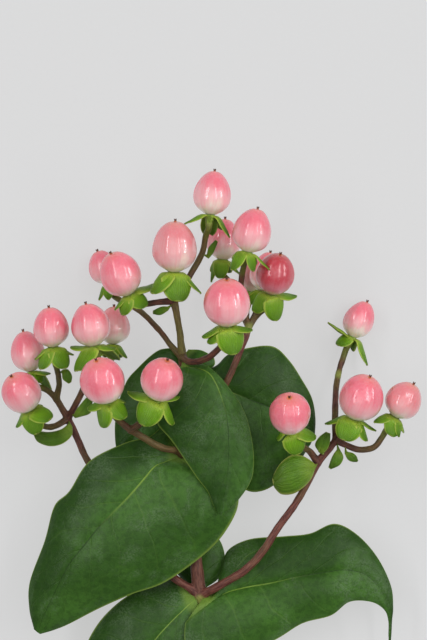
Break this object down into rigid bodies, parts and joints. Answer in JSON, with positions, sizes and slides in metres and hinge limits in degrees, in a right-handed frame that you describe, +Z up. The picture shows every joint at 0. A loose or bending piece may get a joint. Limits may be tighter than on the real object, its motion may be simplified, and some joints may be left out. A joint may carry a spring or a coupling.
{
  "type": "hypericum berry stem",
  "caption": "Cut branching stem lying down, with egg-shaped pink berries in green reflexed calyxes and broad dark green leaves.",
  "frame": {"origin": "middle of the outline in plan, on the surface the stem lies on", "axes": "+Y from the cut end to the berry head, +Z up from the surface, +X to the right seen from above with the head away"},
  "size_m": [0.1177, 0.2417, 0.0511],
  "materials": {
    "stem_bark": "satin red-brown young bark",
    "berry_skin": "glossy salmon-pink skin",
    "berry_skin_dark": "glossy deep pink skin",
    "berry_skin_pale": "glossy pale pink skin",
    "sepal_green": "soft sheen, yellow-green",
    "leaf_green": "satin dark green",
    "bract_green": "soft sheen, mid green"
  },
  "bodies": {
    "root": {"stem": "stem_bark", "berry_top": "berry_skin", "calyx_top": "sepal_green", "berry_upper_right": "berry_skin", "calyx_upper_right": "sepal_green", "berry_upper_back": "berry_skin", "calyx_upper_back": "sepal_green", "berry_crown": "berry_skin_pale", "calyx_crown": "sepal_green", "berry_left": "berry_skin", "calyx_left": "sepal_green", "berry_left_back": "berry_skin", "calyx_left_back": "sepal_green", "berry_front": "berry_skin", "calyx_front": "sepal_green", "berry_right": "berry_skin_dark", "calyx_right": "sepal_green", "berry_right_mid": "berry_skin", "calyx_right_mid": "sepal_green", "berry_right_back": "berry_skin_pale", "calyx_right_back": "sepal_green", "berry_far_left_top": "berry_skin", "calyx_far_left_top": "sepal_green", "berry_far_left_mid": "berry_skin", "calyx_far_left_mid": "sepal_green", "berry_far_left_low": "berry_skin", "calyx_far_left_low": "sepal_green", "berry_mid_left": "berry_skin", "calyx_mid_left": "sepal_green", "berry_mid_left_back": "berry_skin_pale", "calyx_mid_left_back": "sepal_green", "berry_lower_left": "berry_skin", "calyx_lower_left": "sepal_green", "berry_centre": "berry_skin", "calyx_centre": "sepal_green", "berry_right_low": "berry_skin", "calyx_right_low": "sepal_green", "berry_right_top": "berry_skin", "calyx_right_top": "sepal_green", "berry_right_mid_low": "berry_skin", "calyx_right_mid_low": "sepal_green", "berry_far_right": "berry_skin_pale", "calyx_far_right": "sepal_green", "leaf_front_left": "leaf_green", "leaf_front_centre": "leaf_green", "leaf_back_left": "leaf_green", "leaf_back_right": "leaf_green", "leaf_low_right": "leaf_green", "leaf_low_left": "leaf_green", "leaf_low_back": "leaf_green", "bract_right_large": "bract_green", "bract_right_inner": "bract_green", "bract_right_lower": "bract_green", "bract_right_bud": "bract_green", "bract_left_large": "bract_green", "bract_left_inner": "bract_green", "bract_left_upper": "bract_green", "bract_middle": "bract_green", "bract_top": "bract_green"}
  },
  "joints": []
}
